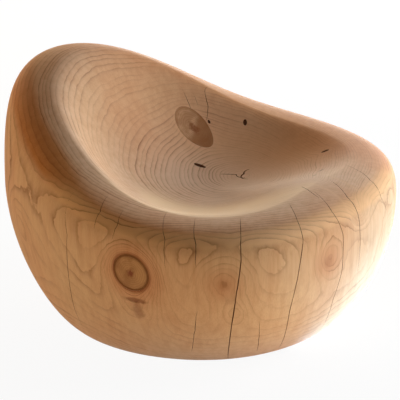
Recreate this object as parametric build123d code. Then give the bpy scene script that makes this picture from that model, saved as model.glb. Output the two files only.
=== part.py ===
import os
from math import cos, pi, radians, sin

from build123d import *

# The stool is one short length of a thick softwood log, its axis upright, carved all round
# into a pebble with a seat scooped out of the top and a low back along one side.
# Branches that died while the tree grew are still in it. Each is a separate piece, held in its
# own tapering socket by the wood that closed round it.
# Lengths are in millimetres. Z is up from the floor, and the origin is the middle of the foot.
# Angles round the seat start at the back (+Y) and turn towards +X. Both sides of the seat are
# alike, so each set of sizes runs from the back, past the side, to the front.

# Reach of the underside from the middle, where it turns level just under the floor.
foot_reach_back = 290
foot_reach_side = 270
foot_reach_front = 240

# Reach and height of the belly, the widest line round the block.
belly_reach_back = 460
belly_reach_back_corner = 410
belly_reach_side = 415
belly_reach_front_corner = 447
belly_reach_front = 415
belly_height_back = 285
belly_height_side = 310
belly_height_front = 248

# Height of the rim, and how far it stands in from the belly.
rim_height_back = 550
rim_height_back_corner = 472
rim_height_side = 375
rim_height_front_corner = 349
rim_height_front = 352
rim_inset_back = 116
rim_inset_back_corner = 98
rim_inset_side = 112
rim_inset_front_corner = 97
rim_inset_front = 120

# The bowl of the seat: its lowest height, its small level middle, and how far that middle
# stands forward of the foot's.
bowl_height = 290
bowl_middle_radius = 12
bowl_forward = 15

# The log's pith, which the growth rings, branches and cracks all run round or out from.
pith_x = 104
pith_y = -64

# The underside is carved this far past the floor line, then planed off flat to stand on.
planing_allowance = 4

# Knots: the angle round the seat where each one shows and its rise on the way out from the
# pith, in degrees, then its radius where it shows and how deep it goes into the wood from there.
side_knot_angle = -105.1
side_knot_rise = 8
side_knot_radius = 36.5
side_knot_depth = 140
side_knot_bark_thickness = 4.5

backrest_knot_angle = 51.9
backrest_knot_rise = 4
backrest_knot_radius = 35
backrest_knot_depth = 130

# Dead twigs that the carved surface cuts through.
twig_depth = 60

# The left back twig grew beside the backrest knot, with this much wood between them. It is
# turned this far round the knot from level, in degrees.
left_back_twig_wall = 5
left_back_twig_turn = 11
left_back_twig_rise = 10
left_back_twig_radius = 3

right_back_twig_angle = 81.2
right_back_twig_rise = 10
right_back_twig_radius = 4.5

bowl_twig_angle = 53.6
bowl_twig_rise = -8
bowl_twig_radius = 5.5

rim_twig_angle = 127.2
rim_twig_rise = 42
rim_twig_radius = 4

# Drying cracks. In the flank each is an upright wedge with its root towards the pith, where
# the wood is whole, and its mouth outside. In the bowl they open from the pith itself.
flank_crack_root_reach = 385
flank_crack_depth = 110
flank_crack_mouth = 3.5
heart_crack_length = 95
heart_crack_depth = 45
heart_crack_mouth = 3

# Every cut runs this far past what it cuts.
overrun = 20

# How the carved curve leaves one line and arrives at the next, as shares of the way between.
underside_spread_shares = (0.5, 0.4, 0.7)
underside_lift_shares = (0.5, 0.4, 0.5)
shoulder_rise_shares = (0.95, 0.75, 0.69)
shoulder_width_shares = (0.76, 0.62, 0.95)
rim_roll_shares = (0.25, 0.11, 0.18)
bowl_spread_shares = (0.6, 0.76, 0.42)

# Where the block is measured along each curve, from its start to its end.
underside_stop_shares = (0, 0.15, 0.3, 0.5, 0.75, 1)
shoulder_stop_shares = (0.25, 0.5, 0.75, 1)
bowl_stop_shares = (0.14, 0.28, 0.42, 0.56, 0.7, 0.85)
points_per_ring = 16

# How far along its curve each knot shows: the side knot from the foot up to the belly, the
# others from the rim down to the middle of the bowl.
side_knot_along_share = 0.871
backrest_knot_along_share = 0.548
right_back_twig_along_share = 0.334
bowl_twig_along_share = 0.82
rim_twig_along_share = 0.285

# How much of its width where it shows a branch gains on its way there from the pith.
branch_widening_share = 0.4

# The flank cracks: bearing from the pith, then root reach and mouth as shares of the largest.
flank_crack_shares = (
    (-119.5, 1, 1),
    (-135.5, 0.86, 0.7),
    (-110, 1.06, 0.5),
    (-151.5, 0.78, 0.6),
    (-75, 1.14, 0.55),
    (-161.5, 0.82, 0.45),
)
# The star of cracks at the pith: bearing, length and mouth as shares.
heart_crack_shares = (
    (-23, 0.68, 1),
    (-164, 1, 0.9),
    (67, 0.3, 0.8),
)

foot_reaches = (foot_reach_back, foot_reach_side, foot_reach_front)
belly_reaches = (
    belly_reach_back,
    belly_reach_back_corner,
    belly_reach_side,
    belly_reach_front_corner,
    belly_reach_front,
)
belly_heights = (belly_height_back, belly_height_side, belly_height_front)
rim_heights = (
    rim_height_back,
    rim_height_back_corner,
    rim_height_side,
    rim_height_front_corner,
    rim_height_front,
)
rim_insets = (
    rim_inset_back,
    rim_inset_back_corner,
    rim_inset_side,
    rim_inset_front_corner,
    rim_inset_front,
)
pith = Vector(pith_x, pith_y, 0)


def round_the_seat(values, angle):
    """The smooth wave through evenly spaced values, the first at the back, the last in front."""
    steps = len(values) - 1
    total = 0
    for wave in range(steps + 1):
        size = 0
        for place in range(steps + 1):
            end = 0.5 if place in (0, steps) else 1
            size += end * values[place] * cos(wave * place * pi / steps)
        end = 0.5 if wave in (0, steps) else 1
        total += end * size * 2 / steps * cos(wave * angle)
    return total


def curve(along, start, leaving, arriving, finish):
    """A cubic curve between two values, with its two handles."""
    back = 1 - along
    ends = back**3 * start + along**3 * finish
    return ends + 3 * along * back * (back * leaving + along * arriving)


def underside(angle, along):
    """Reach and height from the foot up to the belly."""
    foot = round_the_seat(foot_reaches, angle)
    belly = round_the_seat(belly_reaches, angle)
    top = round_the_seat(belly_heights, angle)
    spread = foot + round_the_seat(underside_spread_shares, angle) * (belly - foot)
    lift = top * (1 - round_the_seat(underside_lift_shares, angle))
    low = -planing_allowance
    return curve(along, foot, spread, belly, belly), curve(along, low, low, lift, top)


def shoulder(angle, along):
    """Reach and height from the belly over the shoulder to the rim."""
    belly = round_the_seat(belly_reaches, angle)
    inset = round_the_seat(rim_insets, angle)
    low = round_the_seat(belly_heights, angle)
    top = round_the_seat(rim_heights, angle)
    rise = low + round_the_seat(shoulder_rise_shares, angle) * (top - low)
    width = belly - inset + round_the_seat(shoulder_width_shares, angle) * inset
    return curve(along, belly, belly, width, belly - inset), curve(along, low, rise, top, top)


def bowl(angle, along):
    """Reach and height from the rim down to the middle of the bowl."""
    rim = round_the_seat(belly_reaches, angle) - round_the_seat(rim_insets, angle)
    top = round_the_seat(rim_heights, angle)
    roll = rim * (1 - round_the_seat(rim_roll_shares, angle))
    spread = rim * round_the_seat(bowl_spread_shares, angle)
    height = curve(along, top, top, bowl_height, bowl_height)
    return curve(along, rim, roll, spread, 0), height


def skin_point(profile, angle, along):
    """A point of the carved surface, at an angle round the seat and a share along a curve."""
    reach, height = profile(angle, along)
    forward = 0
    if profile is bowl:
        rim, _ = bowl(angle, 0)
        forward = bowl_forward * (1 - reach / rim)
    return Vector(reach * sin(angle), reach * cos(angle) - forward, height)


def ring(profile, along):
    """One closed level line of the carved shape."""
    angles = [2 * pi * step / points_per_ring for step in range(points_per_ring)]
    points = [skin_point(profile, angle, along) for angle in angles]
    return Wire([Edge.make_spline(points, periodic=True)])


def carved_form():
    """The whole carved outside, before anything is parted from it."""
    rings = [ring(underside, along) for along in underside_stop_shares]
    rings += [ring(shoulder, along) for along in shoulder_stop_shares]
    rings += [ring(bowl, along) for along in bowl_stop_shares]
    middle = Plane((0, -bowl_forward, bowl_height))
    rings.append(Wire([Edge.make_circle(bowl_middle_radius, middle)]))
    form = Solid.make_loft(rings)
    width = 2 * max(belly_reaches) + 2 * overrun
    height = max(rim_heights) + overrun
    above_floor = Box(width, width, height, align=(Align.CENTER, Align.CENTER, Align.MIN))
    return form & above_floor


def bearing_from_pith(bearing):
    return Vector(sin(radians(bearing)), cos(radians(bearing)), 0)


def out_from_pith(place):
    return Vector(place.X - pith.X, place.Y - pith.Y, 0)


def branch_way(shows, rise):
    """The way that a branch grew, out from the pith and up."""
    level = out_from_pith(shows).normalized()
    return level * cos(radians(rise)) + Vector(0, 0, sin(radians(rise)))


def branch(shows, rise, radius, depth):
    """A steadily widening branch from the pith, radius wide where it shows.

    It is cut off square as deep in the wood from there as it would stand out of it.
    """
    way = branch_way(shows, rise)
    run = out_from_pith(shows).length / cos(radians(rise))
    root_radius = radius * (1 - branch_widening_share * depth / run)
    end_radius = radius * (1 + branch_widening_share * depth / run)
    seat = Plane(origin=shows - way * depth, z_dir=way)
    return Solid.make_cone(root_radius, end_radius, 2 * depth, seat)


def side_branch(radius):
    """The large branch in the -X flank."""
    shows = skin_point(underside, radians(side_knot_angle), side_knot_along_share)
    return branch(shows, side_knot_rise, radius, side_knot_depth)


def backrest_knot_place():
    return skin_point(bowl, radians(backrest_knot_angle), backrest_knot_along_share)


def backrest_branch():
    """The branch that the carver cut slantwise in the hollow of the back."""
    shows = backrest_knot_place()
    return branch(shows, backrest_knot_rise, backrest_knot_radius, backrest_knot_depth)


def left_back_twig():
    """The thin dead twig close beside the backrest knot."""
    knot = backrest_knot_place()
    way = branch_way(knot, backrest_knot_rise)
    across = Vector(way.Y, -way.X, 0).normalized()
    up = across.cross(way)
    between = backrest_knot_radius + left_back_twig_wall + left_back_twig_radius
    turn = radians(left_back_twig_turn)
    shows = knot + (across * cos(turn) + up * sin(turn)) * between
    return branch(shows, left_back_twig_rise, left_back_twig_radius, twig_depth)


def twig(angle, along, rise, radius):
    """A thin dead twig that shows by itself in the bowl."""
    return branch(skin_point(bowl, radians(angle), along), rise, radius, twig_depth)


def crack(bearing, tip_reach, wide_reach, width, low, high):
    """An upright wedge in a radial plane from the pith, sharp at one end and width at the other."""
    way = bearing_from_pith(bearing)
    across = Vector(way.Y, -way.X, 0) * width / 2
    base = pith + Vector(0, 0, low)
    tip = base + way * tip_reach
    wide = base + way * wide_reach
    outline = Wire.make_polygon([tip, wide - across, wide + across])
    return Solid.extrude(Face(outline), Vector(0, 0, high - low))


def flank_crack(bearing, root_share, mouth_share):
    """Deepest at the belly, and running out where the carved surface turns in to the root."""
    root = flank_crack_root_reach * root_share
    beyond = 2 * max(belly_reaches)
    mouth = flank_crack_mouth * mouth_share
    width = mouth * (beyond - root) / flank_crack_depth
    return crack(bearing, root, beyond, width, -overrun, max(rim_heights) + overrun)


def heart_crack(bearing, length_share, mouth_share):
    """Widest at the pith, and closing along the bowl."""
    length = heart_crack_length * length_share
    width = heart_crack_mouth * mouth_share
    low = bowl_height - heart_crack_depth
    return crack(bearing, length, 0, width, low, max(rim_heights) + overrun)


form = carved_form()
side_core = side_branch(side_knot_radius)
side_socket = side_branch(side_knot_radius + side_knot_bark_thickness)
backrest_core = backrest_branch()
twigs = {
    "left_back_twig": left_back_twig(),
    "right_back_twig": twig(
        right_back_twig_angle,
        right_back_twig_along_share,
        right_back_twig_rise,
        right_back_twig_radius,
    ),
    "bowl_twig": twig(bowl_twig_angle, bowl_twig_along_share, bowl_twig_rise, bowl_twig_radius),
    "rim_twig": twig(rim_twig_angle, rim_twig_along_share, rim_twig_rise, rim_twig_radius),
}
cracks = [flank_crack(*shares) for shares in flank_crack_shares]
cracks += [heart_crack(*shares) for shares in heart_crack_shares]

pieces = {
    "carved_block": form - [side_socket, backrest_core, *twigs.values(), *cracks],
    "side_knot": form & side_core,
    "side_knot_bark": (form & side_socket) - side_core,
    "backrest_knot": form & backrest_core,
}
for name, piece in twigs.items():
    pieces[name] = form & piece

os.makedirs("parts", exist_ok=True)
for name, piece in pieces.items():
    export_step(piece, f"parts/{name}.step")
    print(name, "volume", round(piece.volume), "solids", len(piece.solids()))
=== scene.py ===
# %% [markdown]
# # A stool carved from one length of log
# The seat is a thick softwood log, stood upright and carved all round: a pebble with a bowl
# scooped out of its top and a low back along one side. Nothing is glued or screwed to it. What
# a viewer sees is one smooth skin and the wood inside it: growth rings, knots and drying
# cracks. So the plan is to make the skin with care, part the loose knots from it, open the
# cracks, and give the wood a solid pattern that runs through the block as real rings do.

from functools import lru_cache
from math import acos, atan2, cos, pi, radians, sin

import bmesh
import bpy
from mathutils import Matrix, Vector, noise
from mathutils.bvhtree import BVHTree


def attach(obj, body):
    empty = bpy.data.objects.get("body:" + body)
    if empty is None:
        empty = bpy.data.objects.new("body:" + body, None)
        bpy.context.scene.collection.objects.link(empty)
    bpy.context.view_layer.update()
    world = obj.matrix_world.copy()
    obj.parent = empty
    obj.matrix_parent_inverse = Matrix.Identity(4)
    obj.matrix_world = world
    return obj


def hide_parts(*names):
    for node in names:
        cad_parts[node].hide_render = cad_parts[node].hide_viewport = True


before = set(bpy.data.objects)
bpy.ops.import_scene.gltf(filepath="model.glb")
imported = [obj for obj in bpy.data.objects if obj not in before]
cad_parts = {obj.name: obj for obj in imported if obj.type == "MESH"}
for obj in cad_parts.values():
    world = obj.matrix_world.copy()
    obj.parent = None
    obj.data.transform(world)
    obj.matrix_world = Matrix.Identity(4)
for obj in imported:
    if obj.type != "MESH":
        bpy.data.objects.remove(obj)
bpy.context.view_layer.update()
print("nodes", sorted(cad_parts))

# %% [markdown]
# ## Camera
# The photograph looks at the stool's front corner from a little above, through a long lens, so
# the far rim is hardly smaller than the near one. The camera aims at a point inside the block.
# Its frame is 400 pixels square, and a 36 mm sensor as wide as the frame makes lens lengths
# easy to work out.

# %% Camera
camera_bearing = radians(-56.3)
camera_rise = radians(20.68)
camera_distance = 4.119
aim = Vector((0, 0, 0.25))
way_back = Vector((
    sin(camera_bearing) * cos(camera_rise),
    -cos(camera_bearing) * cos(camera_rise),
    sin(camera_rise),
))

camera_data = bpy.data.cameras.new("stool_camera")
camera_data.lens = 166.8
camera_data.shift_x = 0.0038
camera_data.shift_y = 0.0067
camera = bpy.data.objects.new("stool_camera", camera_data)
camera.location = aim + camera_distance * way_back
camera.rotation_euler = way_back.to_track_quat("Z", "Y").to_euler()
bpy.context.scene.collection.objects.link(camera)
bpy.context.scene.camera = camera
print("camera", [round(x, 3) for x in camera.location])

# %% [markdown]
# ## The carved form
# The carver works to three lines that run round the block: the foot, the belly, which is the
# widest line, and the rim. Each line's reach from the middle and its height change smoothly
# from the back, past the side, to the front, and both sides are alike. A cosine wave through a
# few sizes gives that, with no kink where the two sides meet.

# %% Sizes of the form, in metres, from the back round to the front
foot_reach = (0.290, 0.270, 0.240)
belly_reach = (0.460, 0.410, 0.415, 0.447, 0.415)
belly_height = (0.285, 0.310, 0.248)
rim_height = (0.550, 0.472, 0.375, 0.349, 0.352)
rim_inset = (0.116, 0.098, 0.112, 0.097, 0.120)
bowl_height = 0.290
bowl_forward = 0.015
planing_allowance = 0.004

# How the curve between two lines leaves one and arrives at the next, as shares of the way.
underside_spread = (0.5, 0.4, 0.7)
underside_lift = (0.5, 0.4, 0.5)
shoulder_rise = (0.95, 0.75, 0.69)
shoulder_width = (0.76, 0.62, 0.95)
rim_roll = (0.25, 0.11, 0.18)
bowl_spread = (0.6, 0.76, 0.42)


def round_the_seat(values, angle):
    """The smooth wave through evenly spaced values, the first at the back."""
    steps = len(values) - 1
    ends = [0.5 if place in (0, steps) else 1 for place in range(steps + 1)]
    total = 0
    for wave in range(steps + 1):
        size = sum(
            ends[place] * values[place] * cos(wave * place * pi / steps)
            for place in range(steps + 1)
        )
        total += ends[wave] * size * 2 / steps * cos(wave * angle)
    return total


def curve(along, start, leaving, arriving, finish):
    """A cubic curve between two values, with its two handles."""
    back = 1 - along
    ends = back**3 * start + along**3 * finish
    return ends + 3 * along * back * (back * leaving + along * arriving)


depth = belly_reach[0] + belly_reach[-1]
print("across the sides", 2 * belly_reach[2], "m, back to front", depth, "m")


# %% [markdown]
# Seen in section, the skin is three curves: the underside from the foot to the belly, the
# shoulder from the belly to the rim, and the bowl from the rim to its middle. One function
# gives a point of that section at any angle round the seat.

# %% The section at any angle
@lru_cache(maxsize=None)
def lines_at(angle):
    """Where the foot, belly and rim are at one angle, and how the curves leave them."""
    foot, belly, low, top, inset = (
        round_the_seat(values, angle)
        for values in (foot_reach, belly_reach, belly_height, rim_height, rim_inset)
    )
    rim = belly - inset
    spread, lift, rise, width, roll, flat = (
        round_the_seat(values, angle)
        for values in (
            underside_spread, underside_lift, shoulder_rise, shoulder_width, rim_roll, bowl_spread
        )
    )
    sole = -planing_allowance
    return {
        "underside": (
            (foot, foot + spread * (belly - foot), belly, belly),
            (sole, sole, low * (1 - lift), low),
        ),
        "shoulder": (
            (belly, belly, rim + width * inset, rim),
            (low, low + rise * (top - low), top, top),
        ),
        "bowl": (
            (rim, rim * (1 - roll), rim * flat, 0),
            (top, top, bowl_height, bowl_height),
        ),
    }


def skin_point(part, angle, along):
    """A point of the skin, by its curve, its angle round the seat and its share along."""
    reaches, heights = lines_at(angle)[part]
    reach = curve(along, *reaches)
    forward = bowl_forward * (1 - reach / reaches[0]) if part == "bowl" else 0
    return Vector((reach * sin(angle), reach * cos(angle) - forward, curve(along, *heights)))


print("front rim", [round(x, 3) for x in skin_point("bowl", pi, 0)])

# %% [markdown]
# The form starts as a sphere of level rings, the way a turned ball has them. Each ring is then
# moved to its level on the section, so the sphere swells into the pebble, and its top goes
# down into the bowl. Rings about 8 mm apart keep the skin smooth where light grazes it. The
# sole is planed off flat and its sharp edge is eased, as a carver does with a block plane.

# %% Make the form
places_round = 320
ring_counts = (("sole", 8), ("underside", 34), ("shoulder", 26), ("bowl", 56))
foot_easing = 0.003


def ring_stations():
    """From the bottom pole to the top one: which curve each ring lies on, and where."""
    stations = []
    for part, count in ring_counts:
        stations += [(part, step / count) for step in range(count)]
    return stations + [("bowl", 1)]


def skin_at(station, angle):
    """A point of the skin or of the sole, by its ring and its angle."""
    part, along = station
    if part == "sole":
        return skin_point("underside", angle, 0) * Vector((along, along, 1))
    return skin_point(part, angle, along)


def carved_form(sunk=0):
    """The whole skin as a closed shell, or one sunk a little under it."""
    stations = ring_stations()
    levels = len(stations) - 1
    form = bmesh.new()
    bmesh.ops.create_uvsphere(form, u_segments=places_round, v_segments=levels, radius=1)
    for point in form.verts:
        level = round(acos(max(-1, min(1, -point.co.z))) / pi * levels)
        angle = round(atan2(point.co.x, point.co.y), 6)
        station = stations[level]
        place = skin_at(station, angle)
        if station == ("sole", 0):
            place = Vector((0, 0, -planing_allowance))
        point.co = place
    if sunk:
        form.normal_update()
        for point in form.verts:
            point.co -= point.normal * sunk
    everything = form.verts[:] + form.edges[:] + form.faces[:]
    floor_cut = bmesh.ops.bisect_plane(
        form, geom=everything, plane_co=(0, 0, sunk), plane_no=(0, 0, -1), clear_outer=True
    )
    edge = [x for x in floor_cut["geom_cut"] if isinstance(x, bmesh.types.BMEdge)]
    bmesh.ops.edgeloop_fill(form, edges=edge)
    bmesh.ops.bevel(
        form, geom=edge, affect="EDGES", offset=foot_easing, segments=3, profile=0.5, material=-1
    )
    return form


form = carved_form()
skin = BVHTree.FromBMesh(form)
print("form", len(form.verts), "points,", len(form.faces), "faces")

# %% [markdown]
# ## The pith
# Everything in the wood runs round or out from the log's pith: rings, branches and cracks. It
# is an upright line, and it comes out off the middle of the bowl. A probe from a point on it
# finds the skin in any direction, given as a bearing and a rise.

# %% The pith and a probe from it
pith = Vector((0.104, -0.064, 0))
heart = pith + Vector((0, 0, 0.150))


def bearing_from_pith(bearing):
    """A level way out from the pith, by its bearing in degrees from the back."""
    return Vector((sin(radians(bearing)), cos(radians(bearing)), 0))


def probe(bearing, rise):
    """The skin's point and normal in one direction from the heart, seen from outside."""
    level = bearing_from_pith(bearing) * cos(radians(rise))
    way = level + Vector((0, 0, sin(radians(rise))))
    place, normal, _, _ = skin.ray_cast(heart + way, -way)
    return place, normal


print("pith comes out at", [round(x, 3) for x in probe(0, 90)[0]])

# %% [markdown]
# ## From a bmesh to an object, and cutting one with another
# Each shape is worked as a bmesh, and only then given to an object. The pieces are parted from
# each other with Boolean modifiers, because a carved skin and a branch meet at any slant. The
# exact solver copes with faces that lie on each other. A collection lets one modifier take all
# of a piece's cutters together, which is much quicker than one cut after another.

# %% Tools to make and cut objects
def to_object(name, shell):
    """Gives a finished bmesh to a new object at the origin."""
    mesh = bpy.data.meshes.new(name)
    shell.to_mesh(mesh)
    shell.free()
    thing = bpy.data.objects.new(name, mesh)
    bpy.context.scene.collection.objects.link(thing)
    return thing


def copy_of(thing, name):
    """A second object with its own copy of the mesh."""
    other = thing.copy()
    other.data = thing.data.copy()
    other.name = other.data.name = name
    bpy.context.scene.collection.objects.link(other)
    return other


def cut_with(thing, cutters, operation):
    """Cuts an object with all its cutters at once, and keeps the result as its mesh."""
    group = bpy.data.collections.new("cutters")
    for cutter in cutters:
        group.objects.link(cutter)
    cut = thing.modifiers.new("cut", "BOOLEAN")
    cut.operand_type = "COLLECTION"
    cut.collection = group
    cut.operation = operation
    cut.solver = "EXACT"
    cut.material_mode = "TRANSFER"
    done = thing.evaluated_get(bpy.context.evaluated_depsgraph_get())
    mesh = bpy.data.meshes.new_from_object(done)
    thing.modifiers.clear()
    thing.data = mesh
    bpy.data.collections.remove(group)
    return thing


# %% [markdown]
# ## Branches left in the wood
# A branch grows out from the pith, widening as it goes, and its wood is not joined to the log's
# once it has died. Each is made as the tapered shape that it really is, so that the slanting cut
# of the carved skin gives each knot its own outline: round in the flank, a long lens in the back.

# %% Where the knots and twigs show, in metres and degrees
twig_depth = 0.060
left_back_twig_wall = 0.005
left_back_twig_radius = 0.003
left_back_twig_turn = radians(11)


def knot_of(shows, rise, radius, depth):
    """A branch by where it shows, its rise, and its radius and depth there."""
    return {"shows": shows, "rise": rise, "radius": radius, "depth": depth}


def place_on_skin(part, angle, along):
    """A point of the skin at an angle in degrees."""
    return skin_point(part, radians(angle), along)


def branch_way(shows, rise):
    """The way that a branch grew, out from the pith and up."""
    level = ((shows - pith) * Vector((1, 1, 0))).normalized()
    return level * cos(radians(rise)) + Vector((0, 0, sin(radians(rise))))


def way_of(knot):
    """The way that one of the knots below grew."""
    return branch_way(knot["shows"], knot["rise"])


def beside_backrest_knot(knot):
    """Where the twig close beside the backrest knot shows, a thin wall of wood away from it."""
    way = way_of(knot)
    across = Vector((way.y, -way.x, 0)).normalized()
    up = across.cross(way)
    between = knot["radius"] + left_back_twig_wall + left_back_twig_radius
    turned = across * cos(left_back_twig_turn) + up * sin(left_back_twig_turn)
    return knot["shows"] + turned * between


knots = {
    "side_knot": knot_of(place_on_skin("underside", -105.1, 0.871), 8, 0.0365, 0.140),
    "backrest_knot": knot_of(place_on_skin("bowl", 51.9, 0.548), 4, 0.035, 0.130),
    "right_back_twig": knot_of(place_on_skin("bowl", 81.2, 0.334), 10, 0.0045, twig_depth),
    "bowl_twig": knot_of(place_on_skin("bowl", 53.6, 0.820), -8, 0.0055, twig_depth),
    "rim_twig": knot_of(place_on_skin("bowl", 127.2, 0.285), 42, 0.004, twig_depth),
}
beside = beside_backrest_knot(knots["backrest_knot"])
knots["left_back_twig"] = knot_of(beside, 10, left_back_twig_radius, twig_depth)
for name, knot in knots.items():
    print(name, "shows at", [round(x, 3) for x in knot["shows"]])

# %% [markdown]
# Each branch starts as a cone with square ends, which stand past the skin and deep in the wood,
# so only its flank and the skin's own cut ever show. No branch is quite round, so the large one
# in the flank is pressed a little out of true by a few waves round it. Its socket in the block is
# the same shape, wider by the bark, and so the collar of bark is even.

# %% The branches as tapered shapes
widening = 0.4
bark_thickness = 0.0045
side_wobble = 0.015


def branch_shell(name, knot, extra=0, wobble=0.0):
    """A branch as a closed tapered shape, or its socket, wider by an extra."""
    shows, depth = knot["shows"], knot["depth"]
    run = ((shows - pith) * Vector((1, 1, 0))).length / cos(radians(knot["rise"]))
    radius = knot["radius"] + extra
    shell = bmesh.new()
    bmesh.ops.create_cone(
        shell,
        cap_ends=True,
        segments=96,
        radius1=radius * (1 - widening * depth / run),
        radius2=radius * (1 + widening * depth / run),
        depth=2 * depth,
    )
    for point in shell.verts:
        turn = atan2(point.co.y, point.co.x)
        swell = 0.6 * sin(2 * turn + 0.7) + 0.4 * sin(3 * turn + 2.1) + 0.25 * sin(5 * turn)
        point.co.x *= 1 + wobble * swell
        point.co.y *= 1 + wobble * swell
    turn = way_of(knot).to_track_quat("Z", "Y").to_matrix().to_4x4()
    shell.transform(Matrix.Translation(shows) @ turn)
    return to_object(name, shell)


side_core = branch_shell("side_core", knots["side_knot"], wobble=side_wobble)
side_socket = branch_shell("side_socket", knots["side_knot"], bark_thickness, side_wobble)
backrest_core = branch_shell("backrest_core", knots["backrest_knot"])
twig_names = ("left_back_twig", "right_back_twig", "bowl_twig", "rim_twig")
twig_cores = {name: branch_shell(name + "_core", knots[name]) for name in twig_names}
print("branches", 2 + len(twig_cores))

# %% [markdown]
# ## Drying cracks
# A log that dries shrinks most along its rings, so it opens in planes that run out from the
# pith, widest at the skin. The eye reads each crack as a hair line that wanders a little with
# the grain. So each is a thin wedge that follows a chain of marks down the skin. A mark is a
# bearing and a rise from the heart in degrees, which is how a crack really runs: nearly one
# bearing, over the whole height.

# %% Where the cracks run
crack_courses = {
    "main": (
        (-120, 26.5), (-120.5, 20.8), (-120.6, 16.3), (-119.8, 9), (-118.4, -1.3),
        (-116.6, -15.5), (-116, -21),
    ),
    "front_corner": (
        (-137, 31), (-136.6, 25.4), (-137.2, 20.2), (-135.6, 11.2), (-133.9, 0.8),
        (-133.5, -11.9), (-133, -18),
    ),
    "lip_a": ((-98.6, 26.5), (-103.3, 19.6), (-103.8, 13.6)),
    "lip_b": ((-107.6, 25.5), (-110.4, 19.2), (-110.6, 14.3)),
    "flank_low": ((-110.4, 3.5), (-109.2, -3), (-106.7, -12.9)),
    "flank_back": ((-74.3, 26.5), (-76.3, 15.3), (-74.1, 6.1), (-70.5, -7.2), (-69.7, -12.8)),
    "lip_c": ((-82, 26.6), (-84.9, 22.6), (-85.5, 18.7)),
    "lip_d": ((-89.3, 24.4), (-91.1, 20.7), (-90.8, 17.6)),
    "front": (
        (-151.3, 36.1), (-150.2, 26.6), (-152.6, 19.5), (-152.7, 8.7), (-150.4, -1.4),
        (-150.1, -16.2),
    ),
    "front_right": ((-166.6, 38.9), (-161.4, 30.3), (-161.7, 24), (-162, 14.4), (-162.2, 3.8)),
    "right": ((167.4, 41.6), (177.3, 32.4), (179.8, 25.7), (174.2, 18.3)),
    "foot": ((-125.4, -0.8), (-125.6, -8), (-125.4, -16)),
    "rim_a": ((-119.6, 31), (-120.5, 28.4)),
    "rim_b": ((-129.9, 36.1), (-131, 32.3)),
    "rim_c": ((-149.7, 39.6), (-149.7, 31.5)),
    "rim_d": ((-108.2, 32.1), (-111.3, 28.9)),
    "back_a": ((23.8, 46.3), (20.8, 48)),
    "back_b": ((31.8, 46.9), (25.9, 48.3)),
    "back_c": ((35.6, 48), (31.9, 48.8), (27, 48.7)),
    "heart_a": ((-100, 85.5), (-15, 79), (-21.5, 65.8)),
    "heart_b": ((-30, 87.5), (-156, 80), (-156, 67.4), (-152.8, 51.5)),
    "heart_c": ((-122, 81.5), (10, 85), (65, 77.6)),
    "unseen_a": ((-30, 30), (-31, 12), (-30, -12)),
    "unseen_b": ((5, 34), (6, 18), (5, -8)),
    "unseen_c": ((58, 38), (60, 14), (59, -14)),
    "unseen_d": ((104, 40), (106, 16), (105, -16)),
}


def along_course(marks, share):
    """The bearing and rise at a share of the way along a chain of marks."""
    spot = share * (len(marks) - 1)
    first = min(int(spot), len(marks) - 2)
    part = spot - first
    part = part * part * (3 - 2 * part) * 0.4 + part * 0.6
    a, b = marks[first], marks[first + 1]
    return a[0] + (b[0] - a[0]) * part, a[1] + (b[1] - a[1]) * part


def across_course(marks, share):
    """The skin's point and normal at a share of a course, and the way across the crack."""
    place, normal = probe(*along_course(marks, share))
    ahead, _ = probe(*along_course(marks, min(1, share + 0.01)))
    behind, _ = probe(*along_course(marks, max(0, share - 0.01)))
    return place, normal, (ahead - behind).cross(normal).normalized()


print(len(crack_courses), "courses")

# %% [markdown]
# A blade is a three-sided prism, cut into many steps along its length. Each step's three corners
# are moved to the root in the wood and to the two lips just past the skin. It narrows to nothing
# at both ends, and soft noise makes it wander and open unevenly, as a split between fibres does.

# %% How wide and how deep each crack is, in metres
crack_sizes = {
    "main": (0.0021, 0.10), "front_corner": (0.0017, 0.08), "front": (0.0015, 0.06),
    "front_right": (0.0016, 0.05), "lip_b": (0.0014, 0.05), "flank_back": (0.0014, 0.05),
    "heart_a": (0.0020, 0.045), "heart_b": (0.0020, 0.045), "heart_c": (0.0036, 0.03),
    "unseen_a": (0.0020, 0.06), "unseen_b": (0.0016, 0.05), "unseen_c": (0.0022, 0.07),
}
fine_crack = (0.0011, 0.03)
crack_wander = 0.0010
past_skin = 0.012
blade_steps = 56


def blade_corners(marks, share, seed, mouth, depth):
    """The root and the two lips of a crack at a share of its course."""
    place, normal, across = across_course(marks, share)
    swell = max(0.06, sin(pi * min(1, max(0, share))) ** 0.55)
    drift = crack_wander * noise.noise(Vector((share * 9, seed * 1.37, 0.2)))
    drift += 0.4 * crack_wander * noise.noise(Vector((share * 37, seed * 2.11, 4.2)))
    uneven = 1 + 0.35 * noise.noise(Vector((share * 14, seed, 7)))
    half = mouth / 2 * swell * (1 + past_skin / depth) * uneven
    place = place + across * drift
    lip = place + normal * past_skin
    return place - normal * depth * swell, lip + across * half, lip - across * half


# %% Make the blades
def crack_blade(name, marks, mouth, depth):
    """A thin wedge that follows its course down the skin, its root in the wood."""
    blade = bmesh.new()
    bmesh.ops.create_cone(blade, cap_ends=True, segments=3, radius1=1, radius2=1, depth=1)
    upright = [e for e in blade.edges if abs(e.verts[0].co.z - e.verts[1].co.z) > 0.5]
    bmesh.ops.subdivide_edges(blade, edges=upright, cuts=blade_steps - 1, use_grid_fill=True)
    corners = {}
    for point in blade.verts:
        corners.setdefault(round((point.co.z + 0.5) * blade_steps), []).append(point)
    seed = sum(map(ord, name))
    for level, three in corners.items():
        three.sort(key=lambda point: round(atan2(point.co.y, point.co.x), 3))
        places = blade_corners(marks, level / blade_steps, seed, mouth, depth)
        for point, place in zip(three, places):
            point.co = place
    bmesh.ops.recalc_face_normals(blade, faces=blade.faces)
    return to_object(name + "_blade", blade)


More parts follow.
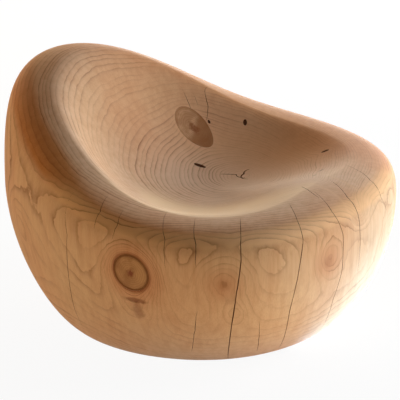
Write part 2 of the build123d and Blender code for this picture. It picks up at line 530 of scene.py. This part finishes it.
blades = [
    crack_blade(name, marks, *crack_sizes.get(name, fine_crack))
    for name, marks in crack_courses.items()
]
print(len(blades), "cracks, each", len(blades[0].data.polygons), "faces")

# %% [markdown]
# ## Making materials
# Every colour below is made in the shader from solid patterns, so a ring that shows in the bowl
# carries on through the block and comes out in the flank. Patterns are laid out in the block's
# own metres. A few small functions keep each recipe short: one adds a node, the others are the
# sums, steps, mixes and noises that the recipes are made of.

# %% A node, a colour and a sum
def add_node(tree, kind, settings=None, sockets=None):
    """Adds one node, with its settings, and its sockets set or linked."""
    node = tree.nodes.new(kind)
    for name, value in (settings or {}).items():
        setattr(node, name, value)
    for name, value in (sockets or {}).items():
        if isinstance(value, bpy.types.NodeSocket):
            tree.links.new(value, node.inputs[name])
        else:
            node.inputs[name].default_value = value
    return node


def colour(text):
    """An sRGB hex colour as the linear values that a shader mixes."""
    parts = [int(text[place:place + 2], 16) / 255 for place in (0, 2, 4)]
    return (*[p / 12.92 if p <= 0.04045 else ((p + 0.055) / 1.055) ** 2.4 for p in parts], 1)


def maths(tree, operation, *values):
    """One sum on numbers; each value is a socket or a plain number."""
    sockets = dict(enumerate(values))
    return add_node(tree, "ShaderNodeMath", {"operation": operation}, sockets).outputs[0]


def product(tree, first, *others):
    """All the numbers multiplied together: high only where every one of them is."""
    for other in others:
        first = maths(tree, "MULTIPLY", first, other)
    return first


def vectors(tree, operation, a, b=(0, 0, 0)):
    """One sum on places or ways, which gives a number or another one of them."""
    node = add_node(tree, "ShaderNodeVectorMath", {"operation": operation}, {0: a, 1: b})
    number = operation in ("DOT_PRODUCT", "LENGTH", "DISTANCE")
    return node.outputs["Value" if number else "Vector"]


# %% Steps, mixes and stains
def step(tree, value, start, end, low=0, high=1):
    """A soft step of a value, from low at start to high at end."""
    sockets = {"Value": value, "From Min": start, "From Max": end, "To Min": low, "To Max": high}
    node = add_node(tree, "ShaderNodeMapRange", {"interpolation_type": "SMOOTHSTEP"}, sockets)
    return node.outputs["Result"]


def mix(tree, share, a, b, blend="MIX"):
    """A mix of two colours."""
    settings = {"data_type": "RGBA", "blend_type": blend}
    return add_node(tree, "ShaderNodeMix", settings, {0: share, 6: a, 7: b}).outputs[2]


def stained(tree, base, share, tint):
    """A colour with a stain over part of it."""
    return mix(tree, share, base, colour(tint), "MULTIPLY")


def mix_value(tree, share, a, b):
    """A mix of two numbers."""
    return maths(tree, "MULTIPLY_ADD", share, maths(tree, "SUBTRACT", b, a), a)


# %% Noise
def patches(tree, coords, size, detail=2.0, stretch=(1, 1, 1), shift=(0, 0, 0), output="Fac"):
    """Soft noise whose patches are about one size, in metres, drawn out along an axis."""
    scale = [1 / (size * s) for s in stretch]
    sockets = {"Vector": coords, "Scale": scale, "Location": shift}
    place = add_node(tree, "ShaderNodeMapping", {}, sockets).outputs["Vector"]
    sockets = {"Vector": place, "Scale": 1, "Detail": detail, "Roughness": 0.55}
    return add_node(tree, "ShaderNodeTexNoise", {}, sockets).outputs[output]


def wandered(tree, coords, size, reach, **more):
    """Places moved a little by soft noise, up to about half of the reach."""
    noise_colour = patches(tree, coords, size, output="Color", **more)
    middle = vectors(tree, "SUBTRACT", noise_colour, (0.5, 0.5, 0.5))
    return vectors(tree, "ADD", coords, vectors(tree, "MULTIPLY", middle, reach))


# %% Distance from a branch, and a spot
def from_axis(tree, coords, point, way):
    """How far a place is from a straight line through a point."""
    arm = vectors(tree, "SUBTRACT", coords, point)
    along = vectors(tree, "DOT_PRODUCT", arm, way)
    run = add_node(tree, "ShaderNodeVectorMath", {"operation": "SCALE"}, {0: way, "Scale": along})
    return vectors(tree, "DISTANCE", arm, run.outputs["Vector"])


def from_branch(tree, coords, knot):
    """How far a place is from a branch's own pith."""
    return from_axis(tree, coords, knot["shows"], way_of(knot))


def spot(tree, coords, middle, size, wander, ragged=0.5):
    """One where an ellipsoid of this size is, with a ragged edge, and none outside it."""
    arm = vectors(tree, "DIVIDE", vectors(tree, "SUBTRACT", coords, middle), size)
    rough = product(tree, patches(tree, coords, wander, 3), ragged * 2)
    away = maths(tree, "ADD", vectors(tree, "LENGTH", arm), rough)
    return step(tree, away, 1.4 + ragged, 0.5 + ragged)


# %% Every wood's shader
def wood_shader(name, roughness):
    """A new matt material: wood has an IOR near 1.5, but raw fibre with a thin rubbed oil
    scatters most of what it would mirror, so it hardly shines."""
    material = bpy.data.materials.new(name)
    material.use_nodes = True
    tree = material.node_tree
    shader = tree.nodes["Principled BSDF"]
    shader.inputs["Specular IOR Level"].default_value = 0.10
    shader.inputs["Roughness"].default_value = roughness
    coords = add_node(tree, "ShaderNodeTexCoord").outputs["Object"]
    return material, tree, shader, coords


# %% [markdown]
# ## The rings
# A tree lays a ring each year, in a long cone that is nearly a tube round the pith. In this log
# the pith lies off centre, so rings on the near side are twice as wide as on the far side, and
# the last years' are the narrowest. Where a branch leaves the trunk the rings swell out round
# it. The skin cuts a swelling into nested ovals, which is what the eye reads as swirling grain
# in the flank, while in the level bowl the same rings show as plain circles.

# %% Where the rings swell out
swirls = {
    "near_front": Vector((-0.340, -0.288, 0.240)),
    "front": Vector((-0.125, -0.404, 0.243)),
}
# Where branches reach the skin or lie under it: place, rise, swell, reach and sharpness.
swells = (
    (knots["side_knot"]["shows"], 8, 0.300, 0.030, 1.0),
    (Vector((-0.385, -0.110, 0.165)), 8, 0.030, 0.048, 1.6),
    (swirls["near_front"] + Vector((0, 0, 0.014)), 4, 0.052, 0.056, 2.0),
    (swirls["front"] + Vector((0, 0, 0.010)), 5, 0.036, 0.045, 1.8),
    (knots["backrest_knot"]["shows"], 4, 0.060, 0.036, 1.0),
    (knots["rim_twig"]["shows"], 42, 0.034, 0.020, 1.0),
    (Vector((-0.30, 0.27, 0.24)), 6, 0.032, 0.060, 1.6),
    (Vector((0.02, 0.45, 0.30)), 6, 0.060, 0.046, 1.2),
    (Vector((0.40, 0.10, 0.27)), 7, 0.045, 0.050, 1.3),
    (Vector((0.25, -0.37, 0.22)), 5, 0.030, 0.050, 1.6),
)


def swollen(tree, reach, places):
    """A reach from the pith, less by each swelling, which carries young rings outwards."""
    for place, rise, swell, spread, sharpness in swells:
        away = from_axis(tree, places, place, branch_way(place, rise))
        fade = maths(tree, "POWER", maths(tree, "DIVIDE", away, spread), sharpness)
        bulge = maths(tree, "EXPONENT", product(tree, fade, -1))
        reach = maths(tree, "SUBTRACT", reach, product(tree, bulge, swell))
    return reach


print(len(swells), "swellings")

# %% Rings round the pith
# A fast-grown log's rings are 8 to 11 mm wide.
ring_width = 0.0105
lean_of_growth = (0.24, -0.18, 0)
slower_growth = 0.40


def rings_round_pith(tree, coords):
    """How many years' growth a place is from the pith, and how far its raw reach is.

    The trunk bends over about 260 mm, the rings waver over 60 mm and their lines over 16 mm.
    """
    bent = wandered(tree, coords, 0.26, (0.030, 0.030, 0), detail=1.5, stretch=(1, 1, 2.0))
    bent = wandered(tree, bent, 0.06, (0.010, 0.010, 0), stretch=(1, 1, 1.6), shift=(3, 1, 7))
    bent = wandered(tree, bent, 0.016, (0.0030, 0.0030, 0), shift=(8, 3, 2))
    arm = vectors(tree, "MULTIPLY", vectors(tree, "SUBTRACT", bent, pith), (1, 1, 0))
    reach = swollen(tree, vectors(tree, "LENGTH", arm), bent)
    leaning = maths(tree, "ADD", reach, vectors(tree, "DOT_PRODUCT", arm, lean_of_growth))
    slowing = maths(tree, "MULTIPLY_ADD", reach, slower_growth, 1)
    return maths(tree, "DIVIDE", product(tree, leaning, slowing), ring_width), reach


def late_wood(tree, years):
    """Darkness of each ring: it deepens slowly to the end of the year, then stops short.

    Good and bad years come in runs, and no two years' late wood is equally dark.
    """
    slowly = product(tree, years, 0.31)
    runs = add_node(tree, "ShaderNodeCombineXYZ", {}, {"X": slowly}).outputs[0]
    sockets = {"Vector": runs, "Scale": 1, "Detail": 1}
    sway = add_node(tree, "ShaderNodeTexNoise", {}, sockets).outputs["Fac"]
    years = maths(tree, "MULTIPLY_ADD", sway, 2.2, years)
    season = maths(tree, "FRACT", years)
    line = product(tree, maths(tree, "POWER", season, 4.5), step(tree, season, 1.0, 0.93))
    sockets = {"W": maths(tree, "FLOOR", years)}
    luck = add_node(tree, "ShaderNodeTexWhiteNoise", {"noise_dimensions": "1D"}, sockets)
    return product(tree, line, step(tree, luck.outputs["Value"], 0, 1, 0.45, 1.0))


print("rings", ring_width * 1000, "mm wide at most")

# %% [markdown]
# ## Heartwood
# Sanded cedar-like softwood with a thin oil: honey brown along the grain, and pinker and duller
# on the level bowl, where the cutter met the end grain. Colour drifts over the block and runs
# up the trunk in streaks. Round the dead branch it is soaked with resin, which ran down in the
# bark as the tree grew. Late wood is harder, so sanding leaves it a hair proud.

# %% Tones of early and late wood
# Each pair is the pale wood of spring and the dark line that ends the year.
flank_tones = ("DCAC7C", "8A5424")
end_grain_tones = ("E3BC9A", "98603A")
# Paler and greyer: painted light on the flank towards the window.
window_painted_light_tones = ("DEBC96", "9A6E48")
bowl_tones = ("F0CEB2", "A47A58")
# The lip and crest pairs are paler: painted light on the near lip and a painted highlight on its
# crest.
lip_painted_light_tones = ("F2BE88", "8A5228")
crest_painted_highlight_tones = ("F8D2A8", "BC8656")


def ringed(tree, line, tones):
    """A pair of tones, mixed by how dark the ring is."""
    early, late = tones
    return mix(tree, line, colour(early), colour(late))


# %% How a place on the skin lies
def lie_of(tree, coords):
    """Its height, how level the skin is, how it leans out from the middle, and its end grain."""
    height = add_node(tree, "ShaderNodeSeparateXYZ", {}, {0: coords}).outputs["Z"]
    normal = add_node(tree, "ShaderNodeNewGeometry").outputs["Normal"]
    level = add_node(tree, "ShaderNodeSeparateXYZ", {}, {0: normal}).outputs["Z"]
    outwards = vectors(tree, "MULTIPLY", coords, (1, 1, 0))
    lean = vectors(tree, "DOT_PRODUCT", outwards, normal)
    flat = maths(tree, "ABSOLUTE", level)
    end_grain = step(tree, flat, 0.30, 0.95)
    return {"height": height, "level": level, "lean": lean, "flat": flat, "end_grain": end_grain}


def towards(tree, coords, way, start, end, low=0, high=1):
    """A soft step across the block, along a level way from its middle."""
    return step(tree, vectors(tree, "DOT_PRODUCT", coords, way), start, end, low, high)


# %% [markdown]
# The rings do not show alike everywhere. They are bold on the lip, by the large knot and round
# the knot in the back, where the skin cuts dense wood, and faint in drifts elsewhere.

# %% Where the rings are bold
bold_middle = (0.0, 0.07, 0.31)


def boldness(tree, coords, lie, reach, knot_near):
    """How much of the rings' contrast a place shows."""
    cloud = patches(tree, coords, 0.16, 2, (1, 1, 1.4), (9, 2, 4))
    in_flank = step(tree, cloud, 0.38, 0.62, 0.30, 0.75)
    in_bowl = step(tree, cloud, 0.38, 0.62, 0.22, 0.66)
    in_back = step(tree, vectors(tree, "DISTANCE", coords, bold_middle), 0.19, 0.10, 0, 1.1)
    by_knot = step(tree, knot_near, 0.11, 0.05)
    on_lip = product(tree, step(tree, lie["height"], 0.265, 0.30), step(tree, reach, 0.30, 0.38))
    bold = mix_value(tree, lie["end_grain"], in_flank, in_bowl)
    for share in (in_back, by_knot, on_lip):
        bold = maths(tree, "MAXIMUM", bold, share)
    fleck = patches(tree, coords, 0.045, 3, (1, 1, 1), (6, 6, 2))
    return product(tree, bold, step(tree, fleck, 0.35, 0.60, 0.55, 1.1))


# %% [markdown]
# Fibres of real wood are about 0.03 mm wide, far too fine for the picture, so they are drawn
# 1.6 mm wide and faint. Streaks are bundles of them, 14 mm wide and 200 mm long, and the slow
# drift of colour has patches of 220 mm.

# %% Drift, streaks and fibre
fibre_width = 0.0016
streak_width = 0.014
drift_width = 0.22


def grain_stains(tree, base, coords, fibre):
    """The base colour with all three laid over it."""
    drift = step(tree, patches(tree, coords, drift_width, 2, (1, 1, 2.2), (2, 5, 1)), 0.3, 0.7)
    base = stained(tree, base, product(tree, drift, 0.35), "F0C4A4")
    streak = patches(tree, coords, streak_width, 3, (1, 1, 14), (1, 8, 3))
    streak = step(tree, streak, 0.3, 0.72)
    base = stained(tree, base, product(tree, streak, 0.26), "D8BB98")
    return stained(tree, base, step(tree, fibre, 0.35, 0.7, 0, 0.14), "B89470")


# %% [markdown]
# Resin keeps the wood round a dead branch dark. It is darkest in a ring just outside the bark,
# and runs down from it in a stain. The live knots under the skin are only a little redder.
# Round the slantwise knot in the back the trunk's fibres turned aside, and show as a pale rim.

# %% Resin
# Resin pockets and stains: middle, half sizes and strength, in metres.
resin_marks = (
    ((-0.396, -0.1120, 0.186), (0.030, 0.026, 0.0060), 0.60),
    ((-0.386, -0.1110, 0.160), (0.030, 0.013, 0.0220), 0.42),
    ((0.1200, -0.2424, 0.339), (0.0100, 0.0035, 0.0200), 0.80),
    ((0.0765, -0.2512, 0.342), (0.0065, 0.0030, 0.0200), 0.70),
)
side_ring = 0.040
back_rim = 0.0385


def off_ring(tree, away, radius):
    """How far a place is from a ring of this radius round a branch."""
    return maths(tree, "ABSOLUTE", maths(tree, "SUBTRACT", away, radius))


def resin(tree, base, coords, knot_near):
    """Stains in the wood round the knots, and the resin pockets by them."""
    base = stained(tree, base, step(tree, knot_near, 0.090, 0.042, 0, 0.35), "DC9C68")
    ring = step(tree, off_ring(tree, knot_near, side_ring), 0.009, 0.001, 0, 0.65)
    base = stained(tree, base, ring, "A87448")
    for middle in swirls.values():
        near = from_axis(tree, coords, middle, branch_way(middle, 4))
        base = stained(tree, base, step(tree, near, 0.055, 0.010, 0, 0.40), "D8A880")
        base = stained(tree, base, step(tree, near, 0.020, 0.003, 0, 0.28), "B08050")
    rim = off_ring(tree, from_branch(tree, coords, knots["backrest_knot"]), back_rim)
    rim = product(tree, step(tree, rim, 0.0040, 0.0015), 0.4)
    base = mix(tree, rim, base, colour("E2B68C"))
    for middle, size, strength in resin_marks:
        mark = product(tree, spot(tree, coords, middle, size, 0.012), strength)
        base = stained(tree, base, mark, "8A4E2C")
    return base


# %% [markdown]
# The rim carries painted light and shade. The shoulder outside it is painted darker, most at
# picture left, away from the window: painted shade. The near lip is painted paler, most of all
# along its inner crest: painted light, and a painted highlight on the crest.

# %% Painted light and shade on the rim
painted_shade_side = (-0.9, 0.3, 0)
painted_light_side = (-0.7, -0.7, 0)


def rim_painted_light_and_shade(tree, base, coords, line, reach, lie):
    """Painted shade on the shoulder outside the rim, painted light on the near lip and its crest.
    """
    height, level, lean = lie["height"], lie["level"], lie["lean"]
    # Painted shade: the shoulder outside the rim is stained darker towards picture left, away
    # from the window.
    shoulder = product(
        tree,
        step(tree, level, 0.30, 0.60),
        step(tree, level, 0.995, 0.90),
        step(tree, lean, 0.01, 0.08),
    )
    darker = towards(tree, coords, painted_shade_side, 0.10, 0.36, 0.15, 1)
    base = stained(tree, base, product(tree, shoulder, darker), "E4BC8A")
    # Painted light: the near lip gets paler tones where the lamps leave it in shade.
    near = towards(tree, coords, painted_light_side, 0.02, 0.14)
    lip = product(
        tree,
        step(tree, level, 0.30, 0.55),
        step(tree, level, 0.97, 0.85),
        product(tree, step(tree, lean, 0.02, 0.10), near),
        step(tree, height, 0.40, 0.36, 0, 0.6),
    )
    base = mix(tree, lip, base, ringed(tree, line, lip_painted_light_tones))
    # Painted highlight: the inner crest of the near lip gets paler tones still.
    crest_painted_highlight = product(
        tree,
        step(tree, level, 0.84, 0.95),
        step(tree, reach, 0.16, 0.27),
        step(tree, lean, 0.02, -0.03),
        near,
        step(tree, height, 0.42, 0.36, 0, 0.9),
    )
    return mix(tree, crest_painted_highlight, base, ringed(tree, line, crest_painted_highlight_tones))


# %% [markdown]
# The recipe puts these together in this order: the rings' two tones, the flank painted paler
# towards the window as painted light, streaks and fibre, resin, the pale end grain at the bottom
# of the bowl, the rim's painted light and shade, and a warmer tint over the far wall of the bowl,
# which is painted shade.

# %% Heartwood
window_side = (0.555, -0.832, 0)
shaded_far_wall_side = (0.9, 0.2, 0)


def heartwood():
    """The block's own wood, from skin to pith."""
    material, tree, shader, coords = wood_shader("cedar_heartwood", 0.65)
    years, reach = rings_round_pith(tree, coords)
    lie = lie_of(tree, coords)
    knot_near = from_branch(tree, coords, knots["side_knot"])
    bold = boldness(tree, coords, lie, reach, knot_near)
    line = product(tree, late_wood(tree, years), bold)

    pairs = zip(flank_tones, end_grain_tones)
    early, late = [mix(tree, lie["end_grain"], colour(a), colour(b)) for a, b in pairs]
    base = mix(tree, line, early, late)
    # Painted light: the flank towards the window is paler and greyer.
    window_painted_light = towards(tree, coords, window_side, 0.22, 0.38, 0, 0.85)
    window_painted_light = product(tree, window_painted_light, step(tree, lie["flat"], 0.85, 0.55))
    base = mix(tree, window_painted_light, base, ringed(tree, line, window_painted_light_tones))
    fibre = patches(tree, coords, fibre_width, 2, (1, 1, 40))
    base = grain_stains(tree, base, coords, fibre)
    base = resin(tree, base, coords, knot_near)
    bowl = product(tree, lie["end_grain"], step(tree, reach, 0.28, 0.10, 0, 0.60))
    base = mix(tree, bowl, base, ringed(tree, line, bowl_tones))
    base = rim_painted_light_and_shade(tree, base, coords, line, reach, lie)
    # Painted shade: the far wall of the bowl lies in shade and is tinted warmer, as light bounced
    # from the room would tint it.
    warm = towards(tree, coords, shaded_far_wall_side, 0.0, 0.20, 0, 0.8)
    warm = product(tree, warm, step(tree, lie["flat"], 0.5, 0.9))
    base = stained(tree, base, warm, "F4D6B4")
    tree.links.new(base, shader.inputs["Base Color"])

    relief = maths(tree, "MULTIPLY_ADD", line, 0.6, product(tree, fibre, 0.4))
    sockets = {"Strength": 0.35, "Distance": 0.0004, "Height": relief}
    bump = add_node(tree, "ShaderNodeBump", {}, sockets)
    tree.links.new(bump.outputs["Normal"], shader.inputs["Normal"])
    return material


wood = heartwood()
print(wood.name, len(wood.node_tree.nodes), "nodes")

# %% [markdown]
# ## Knot wood
# A branch has its own pith and its own narrow rings, and its wood is redder and harder than the
# trunk's. The one in the flank was cut square across, so it shows its rings as circles round a
# dark star. The one in the back was cut aslant and has a darker half on its underside, where
# the branch carried its weight. A branch's rings are 1 to 2 mm wide, less than the picture can
# show, so they are drawn 4 mm wide.

# %% Knot wood
def knot_timber(name, knot, ring, light, dark, red, heavy_way, heavy):
    """Rings round the branch's own pith, a darker half, a dark star and a dark rim."""
    material, tree, shader, coords = wood_shader(name, 0.55)
    bent = wandered(tree, coords, 0.02, (0.008, 0.008, 0.008))
    away = from_branch(tree, bent, knot)
    season = maths(tree, "FRACT", maths(tree, "DIVIDE", away, ring))
    line = product(tree, maths(tree, "POWER", season, 3), 0.45)
    base = mix(tree, line, colour(light), colour(dark))
    arm = vectors(tree, "SUBTRACT", bent, knot["shows"])
    base = mix(tree, towards(tree, arm, heavy_way, -0.008, 0.010, 0, heavy), base, colour(dark))
    cloud = patches(tree, coords, 0.03, 3, (1, 1, 1), (4, 4, 1))
    base = mix(tree, step(tree, cloud, 0.38, 0.65, 0, 0.5), base, colour(dark))
    star = maths(tree, "ADD", away, patches(tree, coords, 0.006, 2, (1, 1, 2), (1, 7, 3)))
    star = maths(tree, "SUBTRACT", star, 0.5)
    ragged = maths(tree, "MULTIPLY_ADD", maths(tree, "SUBTRACT", star, away), 0.025, away)
    base = mix(tree, step(tree, ragged, 0.012, 0.002, 0, 0.85), base, colour(red))
    rim = step(tree, away, knot["radius"] - 0.006, knot["radius"], 0, 0.55)
    base = mix(tree, rim, base, colour(dark))
    tree.links.new(base, shader.inputs["Base Color"])
    return material


side_timber = knot_timber(
    "side_branch_wood", knots["side_knot"], ring=0.0045, light="BC8450", dark="8C5630",
    red="7E3C20", heavy_way=(0, 0.7, -0.7), heavy=0.2,
)
backrest_timber = knot_timber(
    "backrest_branch_wood", knots["backrest_knot"], ring=0.0040, light="D6A87E", dark="986038",
    red="8A5230", heavy_way=(0.5, -0.8, -0.35), heavy=0.8,
)
print(side_timber.name, backrest_timber.name)

# %% [markdown]
# ## Bark, dead twigs and the inside of a crack
# All three are dry, open and matt, with no rings that the eye could find: bark soaked in resin,
# twigs that were dead and grey before the tree closed over them, and torn, dusty fibre in the
# cracks, made darker still as painted shade in the narrow slots.
# Soft cloudy noise between two dark browns is enough for each.

# %% Bark, dead twigs and crack sides
def dark_timber(name, light, dark):
    """Cloudy dark brown, with patches 8 mm wide, and quite matt."""
    material, tree, shader, coords = wood_shader(name, 0.85)
    cloud = patches(tree, coords, 0.008, 4)
    tree.links.new(mix(tree, cloud, colour(light), colour(dark)), shader.inputs["Base Color"])
    return material


collar_bark = dark_timber("collar_bark", "966034", "6A3E1E")
twig_timber = dark_timber("dead_twig_wood", "5A3218", "33190C")
# Crack sides: dusty torn fibre, darkened further as painted shade in the slots.
crack_dust_and_shade = dark_timber("crack_sides_dust_and_shade", "8A5630", "5A3418")
print(collar_bark.name, twig_timber.name, crack_dust_and_shade.name)

# %% [markdown]
# ## Parting the pieces
# The skin is parted into the same eight pieces as the model. The two large branches are cut from
# the skin itself, so they lie flush with the block, as sanding leaves them. Bark and the dead
# twigs are softer and shrink more, so theirs is cut from a skin sunk a little deeper.

# %% Part the pieces
bark_sunk = 0.0006
whole = to_object("carved_form", form)
sunk_form = to_object("sunk_form", carved_form(bark_sunk))


def piece(name, source, material, cutter, hollow=None):
    """The part of the skin's solid inside one cutter, less a hollow, all in one material."""
    thing = cut_with(copy_of(source, name), [cutter], "INTERSECT")
    if hollow:
        thing = cut_with(thing, [hollow], "DIFFERENCE")
    thing.data.materials.clear()
    thing.data.materials.append(material)
    return thing


pieces = {
    "side_knot": piece("side_branch", whole, side_timber, side_core),
    "side_knot_bark": piece("side_branch_bark", sunk_form, collar_bark, side_socket, side_core),
    "backrest_knot": piece("backrest_branch", whole, backrest_timber, backrest_core),
}
for name, core in twig_cores.items():
    pieces[name] = piece("dead_" + name, sunk_form, twig_timber, core)
print(len(pieces), "pieces parted")

# %% [markdown]
# ## The block
# The block is what is left when every socket and crack is taken out of the skin, in one cut. The
# cut carries each cutter's material over to the faces that it leaves, so the sockets are lined
# with the block's own wood and the cracks with dark torn fibre that is also painted shade. The
# cutters are then removed.

# %% Take the sockets and cracks out of the block
sockets = [side_socket, backrest_core, *twig_cores.values()]
for cutter in sockets:
    cutter.data.materials.append(wood)
for blade in blades:
    blade.data.materials.append(crack_dust_and_shade)
block = copy_of(whole, "log_block")
block.data.materials.append(wood)
pieces["carved_block"] = cut_with(block, sockets + blades, "DIFFERENCE")
for scrap in (whole, sunk_form, side_core, *sockets, *blades):
    bpy.data.objects.remove(scrap)
print(len(sockets), "sockets and", len(blades), "cracks taken out of", block.name)

# %% [markdown]
# ## Handing the pieces over
# Each finished piece takes the place of one plain solid of the model. A carved skin is smooth,
# but the edge round a knot, a crack or the sole is a real corner. So every edge is shaded smooth
# unless its two faces meet at more than 32 degrees.

# %% Hand the pieces to the model's nodes
corner = radians(32)


def crisp_edges(thing):
    """Smooth shading, with a sharp edge wherever two faces meet at a real corner."""
    shell = bmesh.new()
    shell.from_mesh(thing.data)
    for face in shell.faces:
        face.smooth = True
    for edge in shell.edges:
        edge.smooth = len(edge.link_faces) == 2 and edge.calc_face_angle(0) < corner
    shell.to_mesh(thing.data)
    shell.free()


for node, thing in pieces.items():
    crisp_edges(thing)
    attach(thing, "root")
    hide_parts(node)
    names = [material.name for material in thing.data.materials]
    print(thing.name, len(thing.data.polygons), "faces", names)

# %% [markdown]
# ## Floor and backdrop
# The photograph was cut out on white. The floor is one large plain sheet. It glows white to the
# camera alone, mixed with a little of its own pale paint, so that it keeps some of the block's
# shadow. The world is white to the camera and to what shines, and lights nothing.

# %% Floor
floor_shell = bmesh.new()
bmesh.ops.create_grid(floor_shell, x_segments=1, y_segments=1, size=12)
floor = to_object("floor", floor_shell)
floor_paint, tree, shader, _ = wood_shader("white_floor", 1.0)
shader.inputs["Base Color"].default_value = (0.85, 0.85, 0.85, 1)
shader.inputs["Specular IOR Level"].default_value = 0
glow = add_node(tree, "ShaderNodeEmission", {}, {"Strength": 1})
rays = add_node(tree, "ShaderNodeLightPath").outputs
seen = product(tree, rays["Is Camera Ray"], 0.93)
joined = {0: seen, 1: shader.outputs[0], 2: glow.outputs[0]}
blend = add_node(tree, "ShaderNodeMixShader", {}, joined)
tree.links.new(blend.outputs[0], tree.nodes["Material Output"].inputs["Surface"])
floor.data.materials.append(floor_paint)
print(floor.name, len(floor.data.polygons), "face")

# %% Backdrop
world = bpy.data.worlds.new("studio")
world.use_nodes = True
bpy.context.scene.world = world
backdrop = world.node_tree.nodes["Background"]
backdrop.inputs["Color"].default_value = (1, 1, 1, 1)
rays = add_node(world.node_tree, "ShaderNodeLightPath").outputs
shown = maths(world.node_tree, "MAXIMUM", rays["Is Camera Ray"], rays["Is Glossy Ray"])
shown = maths(world.node_tree, "MAXIMUM", shown, rays["Is Transmission Ray"])
world.node_tree.links.new(shown, backdrop.inputs["Strength"])
bpy.context.scene.view_settings.view_transform = "Standard"
print("world", world.name)

# %% [markdown]
# ## Lights
# The light in the photograph is a large cool window at picture right, a little behind the block,
# so the right flank glows, the bowl's left slope is bright, and the left shoulder is in shade.
# The shade is lit warm by the room. Large square lamps stand in for the window and the room, and
# others just over the floor throw up the light that the floor would, cooler towards the window.

# %% Lights
picture_right = Vector((0.555, -0.832, 0))
picture_away = Vector((0.832, 0.555, 0))
lamp_distance = 3.2
lamp_size = 2.4


def lamp(name, watts, tint, size, place, way):
    """A square lamp that faces along a way and that the camera doesn't see."""
    data = bpy.data.lights.new(name, "AREA")
    data.energy, data.color, data.size = watts, tint, size
    light = bpy.data.objects.new(name, data)
    light.visible_camera = False
    light.location = place
    light.rotation_euler = (-way).to_track_quat("Z", "Y").to_euler()
    bpy.context.scene.collection.objects.link(light)
    print(name, watts, "W")


def standing_lamp(name, watts, tint, turn, rise):
    """A lamp turned round the block from the camera's side, and raised, in degrees."""
    level = picture_right * sin(radians(turn)) - picture_away * cos(radians(turn))
    way = level * cos(radians(rise)) + Vector((0, 0, sin(radians(rise))))
    lamp(name, watts, tint, lamp_size, aim + lamp_distance * way, -way)


standing_lamp("window", 134, (0.95, 0.98, 1), 100, 15)
standing_lamp("window_behind", 130, (0.72, 0.93, 1), 160, 3)
standing_lamp("room_behind", 54, (1, 0.68, 0.36), -150, 20)
standing_lamp("room", 47, (1, 0.82, 0.56), -60, 3)

# %% Light from the floor
up = Vector((0, 0, 1))
just_over_floor = Vector((0, 0, 0.002))
right_of_block = 1.3 * picture_right
before_block = 0.3 * picture_right - 0.8 * picture_away
lamp("floor_bounce", 14, (0.70, 0.87, 1), 4, just_over_floor, up)
lamp("floor_bounce_right", 34, (0.30, 0.60, 1), 1.6, right_of_block + just_over_floor, up)
lamp("floor_bounce_front", 1.3, (1, 0.92, 0.70), 0.6, before_block + just_over_floor, up)
